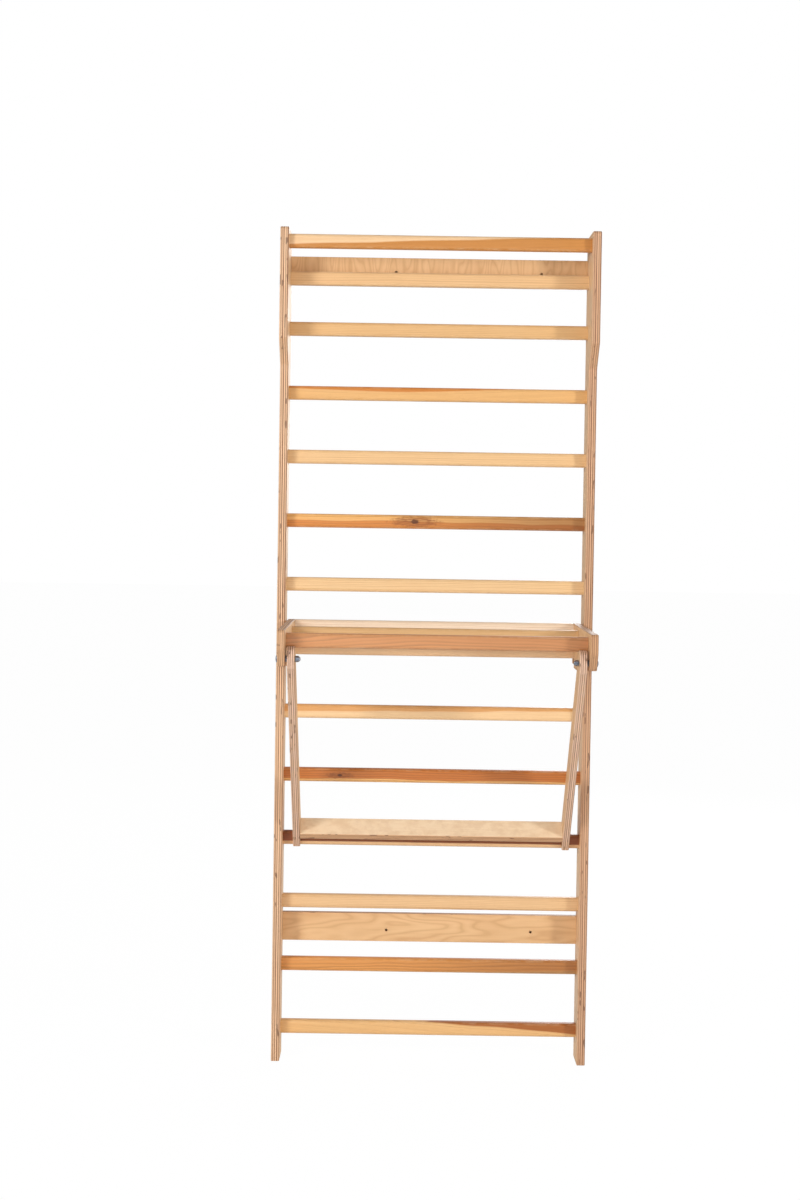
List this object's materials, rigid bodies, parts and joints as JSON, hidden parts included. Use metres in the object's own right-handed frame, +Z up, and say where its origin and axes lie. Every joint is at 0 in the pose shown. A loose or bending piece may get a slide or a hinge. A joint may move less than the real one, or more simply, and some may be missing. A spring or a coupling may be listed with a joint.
{
  "type": "clothes drying rack",
  "caption": "Tall wall-mounted wooden ladder rack for hanging clothes, with a lift-off frame of bars hooked onto one rung and braced by folding slanted struts.",
  "frame": {"origin": "middle of the bounding box's bottom face, on the floor between the posts", "axes": "+Z up along the posts, +Y towards the wall, +X to the right seen from the front"},
  "size_m": [0.8, 0.478, 2.11],
  "materials": {
    "post_plywood": "satin clear lacquer",
    "board_plywood": "satin clear lacquer",
    "arm_plywood": "satin clear lacquer",
    "strut_plywood": "satin clear lacquer",
    "rung_pine": "satin clear lacquer",
    "bar_pine": "satin clear lacquer",
    "fastener_steel": "bright zinc plated"
  },
  "bodies": {
    "ladder": {"left_post": "post_plywood", "right_post": "post_plywood", "rung_01": "rung_pine", "rung_02": "rung_pine", "rung_03": "rung_pine", "rung_04": "rung_pine", "rung_05": "rung_pine", "rung_06": "rung_pine", "rung_07": "rung_pine", "rung_08": "rung_pine", "rung_09": "rung_pine", "rung_10": "rung_pine", "rung_11": "rung_pine", "rung_12": "rung_pine", "rung_13": "rung_pine", "rung_14": "rung_pine", "upper_wall_board": "board_plywood", "lower_wall_board": "board_plywood"},
    "hanging_frame": {"left_arm": "arm_plywood", "right_arm": "arm_plywood", "front_bar": "bar_pine", "middle_bar": "bar_pine", "rear_bar": "bar_pine", "left_front_bar_screw": "fastener_steel", "right_front_bar_screw": "fastener_steel", "left_middle_bar_screw": "fastener_steel", "right_middle_bar_screw": "fastener_steel", "left_rear_bar_screw": "fastener_steel", "right_rear_bar_screw": "fastener_steel", "left_pivot_bolt": "fastener_steel", "left_pivot_spacer": "fastener_steel", "left_pivot_washer": "fastener_steel", "left_pivot_nut": "fastener_steel", "right_pivot_bolt": "fastener_steel", "right_pivot_spacer": "fastener_steel", "right_pivot_washer": "fastener_steel", "right_pivot_nut": "fastener_steel"},
    "strut_frame": {"left_strut": "strut_plywood", "right_strut": "strut_plywood", "spreader_board": "strut_plywood", "left_rear_spreader_screw": "fastener_steel", "left_front_spreader_screw": "fastener_steel", "right_rear_spreader_screw": "fastener_steel", "right_front_spreader_screw": "fastener_steel"}
  },
  "joints": [
    {"name": "frame_lift", "type": "slide", "parent": "ladder", "child": "hanging_frame", "axis": [0, 0, 1], "range_m": [0, 0.062]},
    {"name": "strut_swing", "type": "hinge", "parent": "hanging_frame", "child": "strut_frame", "pos_m": [0, -0.196, 1.05436], "axis": [-1, 0, 0], "range_deg": [0, 165]}
  ]
}
